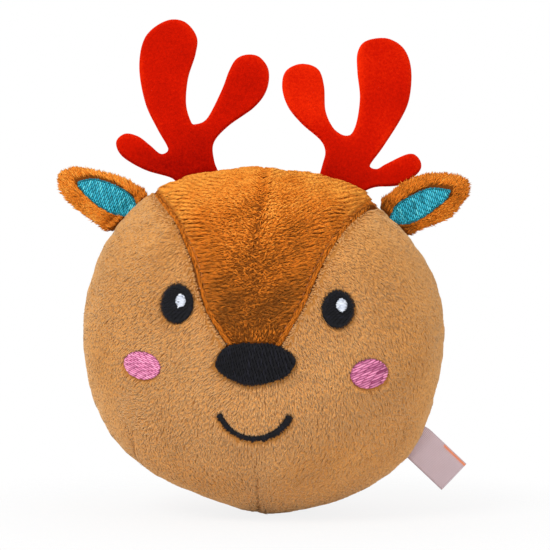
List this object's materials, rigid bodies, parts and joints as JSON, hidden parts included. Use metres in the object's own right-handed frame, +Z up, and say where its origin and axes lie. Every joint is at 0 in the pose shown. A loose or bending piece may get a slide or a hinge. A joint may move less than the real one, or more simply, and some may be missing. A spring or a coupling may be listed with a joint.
{
  "type": "plush ball",
  "caption": "Soft stuffed ball with a deer's face, plush ears and flat felt antlers sewn into its rim seam, and a folded ribbon loop.",
  "frame": {"origin": "on the small flat that the ball rests on, below the ball's centre", "axes": "+Z up through the crown, -Y the way the face looks, +X to the viewer's right"},
  "size_m": [0.1722, 0.1342, 0.2055],
  "materials": {
    "tan_pile": "matte",
    "brown_pile": "matte",
    "ear_pile": "matte",
    "red_felt": "matte",
    "teal_thread": "satin",
    "pink_thread": "satin",
    "black_thread": "satin",
    "white_thread": "satin",
    "brown_thread": "satin",
    "fibre": "matte",
    "squeaker_plastic": "satin",
    "satin": "satin"
  },
  "bodies": {
    "ball": {"face_panel": "tan_pile", "forehead_panel": "brown_pile", "back_panel_left": "brown_pile", "back_panel_right": "brown_pile", "rim_seam_thread": "brown_thread", "back_seam_thread_upper": "brown_thread", "back_seam_thread_lower": "brown_thread", "closing_stitch": "brown_thread", "forehead_topstitch_left": "brown_thread", "forehead_topstitch_right": "brown_thread", "left_eye": "black_thread", "right_eye": "black_thread", "left_eye_highlight": "white_thread", "right_eye_highlight": "white_thread", "nose_embroidery": "black_thread", "mouth_embroidery": "black_thread", "left_cheek": "pink_thread", "right_cheek": "pink_thread", "squeaker_shell": "squeaker_plastic", "squeaker_reed": "squeaker_plastic", "stuffing": "fibre", "stuffing_plug": "fibre", "left_antler_tab": "red_felt", "right_antler_tab": "red_felt", "left_ear_tab": "ear_pile", "right_ear_tab": "ear_pile", "ribbon_tab": "satin"},
    "left_antler": {"left_antler": "red_felt"},
    "right_antler": {"right_antler": "red_felt"},
    "left_ear": {"left_ear_front": "ear_pile", "left_ear_back": "ear_pile", "left_ear_embroidery": "teal_thread"},
    "right_ear": {"right_ear_front": "ear_pile", "right_ear_back": "ear_pile", "right_ear_embroidery": "teal_thread"},
    "ribbon_loop": {"ribbon_loop": "satin"}
  },
  "joints": [
    {"name": "left_antler_bend", "type": "hinge", "parent": "ball", "child": "left_antler", "pos_m": [-0.02766, 0.004, 0.14092], "axis": [0.9598, 0, 0.2808], "range_deg": [-50, 75], "stiffness_Nm_per_rad": 0.006},
    {"name": "right_antler_bend", "type": "hinge", "parent": "ball", "child": "right_antler", "pos_m": [0.03347, 0.004, 0.13876], "axis": [0.9269, 0, -0.3753], "range_deg": [-50, 2], "stiffness_Nm_per_rad": 0.006},
    {"name": "left_ear_bend", "type": "hinge", "parent": "ball", "child": "left_ear", "pos_m": [-0.05748, 0.004, 0.12649], "axis": [0.7323, 0, 0.681], "range_deg": [-70, 60], "stiffness_Nm_per_rad": 0.003},
    {"name": "right_ear_bend", "type": "hinge", "parent": "ball", "child": "right_ear", "pos_m": [0.05712, 0.004, 0.12281], "axis": [0.6845, 0, -0.729], "range_deg": [-1.5, 60], "stiffness_Nm_per_rad": 0.003},
    {"name": "ribbon_loop_bend", "type": "hinge", "parent": "ball", "child": "ribbon_loop", "pos_m": [0.06546, 0.004, 0.02903], "axis": [-0.4962, 0, -0.8682], "range_deg": [-75, 75], "stiffness_Nm_per_rad": 0.0003}
  ]
}
